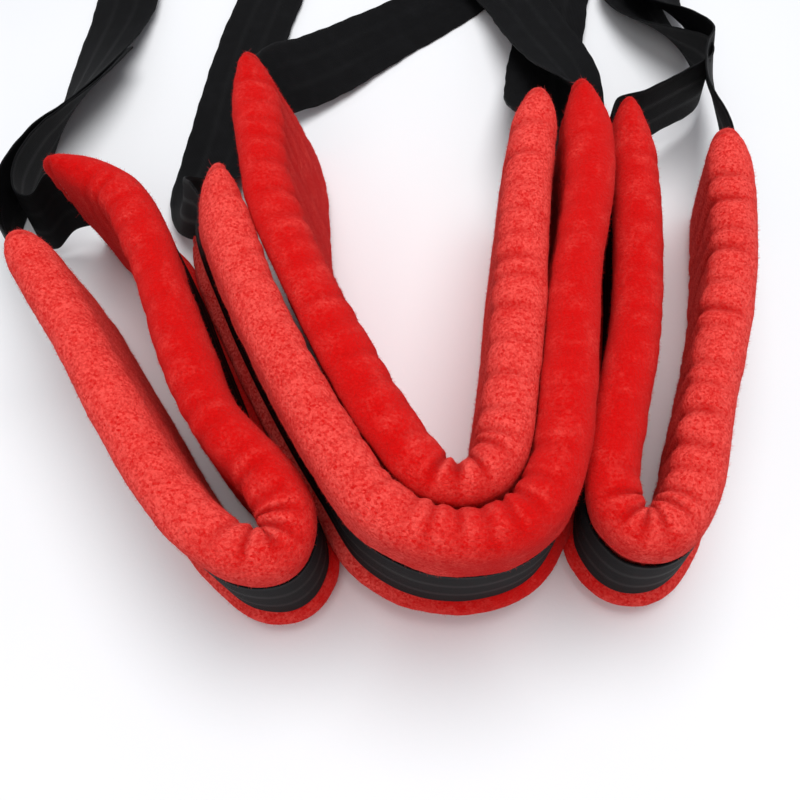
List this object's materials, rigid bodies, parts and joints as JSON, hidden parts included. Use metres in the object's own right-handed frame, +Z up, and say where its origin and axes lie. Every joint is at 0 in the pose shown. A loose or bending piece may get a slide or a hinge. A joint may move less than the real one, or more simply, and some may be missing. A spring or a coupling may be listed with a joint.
{
  "type": "padded sling harness",
  "caption": "Padded leg and body slings, each a plush-covered foam pad on webbing with D-rings and three-bar slides, bent into loops that stand on edge.",
  "frame": {"origin": "under the middle of the harness's box, on the surface that it stands on", "axes": "+Z up; +Y from the bends of the loops towards the D-rings at the straps' ends; +X to the right of someone who faces +Y"},
  "size_m": [0.5652, 0.811, 0.135],
  "materials": {
    "plush": "napped plush",
    "foam": "open-cell foam",
    "webbing": "flat woven",
    "steel": "polished plate"
  },
  "bodies": {
    "slings": {"left_leg_cover": "plush", "left_leg_foam": "foam", "left_leg_webbing": "webbing", "outer_body_cover": "plush", "outer_body_foam": "foam", "outer_body_webbing": "webbing", "inner_body_cover": "plush", "inner_body_foam": "foam", "inner_body_webbing": "webbing", "right_leg_cover": "plush", "right_leg_foam": "foam", "right_leg_webbing": "webbing"},
    "left_leg_ring": {"left_leg_ring": "steel"},
    "left_leg_slide": {"left_leg_slide": "steel"},
    "outer_body_left_ring": {"outer_body_left_ring": "steel"},
    "outer_body_right_ring": {"outer_body_right_ring": "steel"},
    "outer_body_right_slide": {"outer_body_right_slide": "steel"},
    "inner_body_left_ring": {"inner_body_left_ring": "steel"},
    "inner_body_right_ring": {"inner_body_right_ring": "steel"},
    "inner_body_right_slide": {"inner_body_right_slide": "steel"},
    "right_leg_ring": {"right_leg_ring": "steel"},
    "right_leg_slide": {"right_leg_slide": "steel"}
  },
  "joints": [
    {"name": "left_leg_ring_swing", "type": "hinge", "parent": "slings", "child": "left_leg_ring", "pos_m": [-0.23322, 0.31257, 0.0062], "axis": [0.9976, -0.0698, 0], "range_deg": [0, 120]},
    {"name": "left_leg_slide_travel", "type": "slide", "parent": "slings", "child": "left_leg_slide", "axis": [0.0698, 0.9976, 0], "range_m": [-0.045, 0.045]},
    {"name": "outer_body_left_ring_swing", "type": "hinge", "parent": "slings", "child": "outer_body_left_ring", "pos_m": [-0.10222, 0.24757, 0.0062], "axis": [0.9848, -0.1736, 0], "range_deg": [0, 120]},
    {"name": "outer_body_right_ring_swing", "type": "hinge", "parent": "slings", "child": "outer_body_right_ring", "pos_m": [-0.04422, 0.35757, 0.0062], "axis": [0.9063, 0.4226, 0], "range_deg": [0, 120]},
    {"name": "outer_body_right_slide_travel", "type": "slide", "parent": "slings", "child": "outer_body_right_slide", "axis": [-0.4226, 0.9063, 0], "range_m": [-0.045, 0.045]},
    {"name": "inner_body_left_ring_swing", "type": "hinge", "parent": "slings", "child": "inner_body_left_ring", "pos_m": [0.07978, 0.36757, 0.0062], "axis": [0.9986, 0.0523, 0], "range_deg": [0, 120]},
    {"name": "inner_body_right_ring_swing", "type": "hinge", "parent": "slings", "child": "inner_body_right_ring", "pos_m": [0.16678, 0.35957, 0.0062], "axis": [0.9877, -0.1564, 0], "range_deg": [0, 120]},
    {"name": "inner_body_right_slide_travel", "type": "slide", "parent": "slings", "child": "inner_body_right_slide", "axis": [0.1564, 0.9877, 0], "range_m": [-0.045, 0.045]},
    {"name": "right_leg_ring_swing", "type": "hinge", "parent": "slings", "child": "right_leg_ring", "pos_m": [0.24178, 0.34357, 0.0062], "axis": [0.9816, -0.1908, 0], "range_deg": [0, 120]},
    {"name": "right_leg_slide_travel", "type": "slide", "parent": "slings", "child": "right_leg_slide", "axis": [0.1908, 0.9816, 0], "range_m": [-0.045, 0.045]}
  ]
}
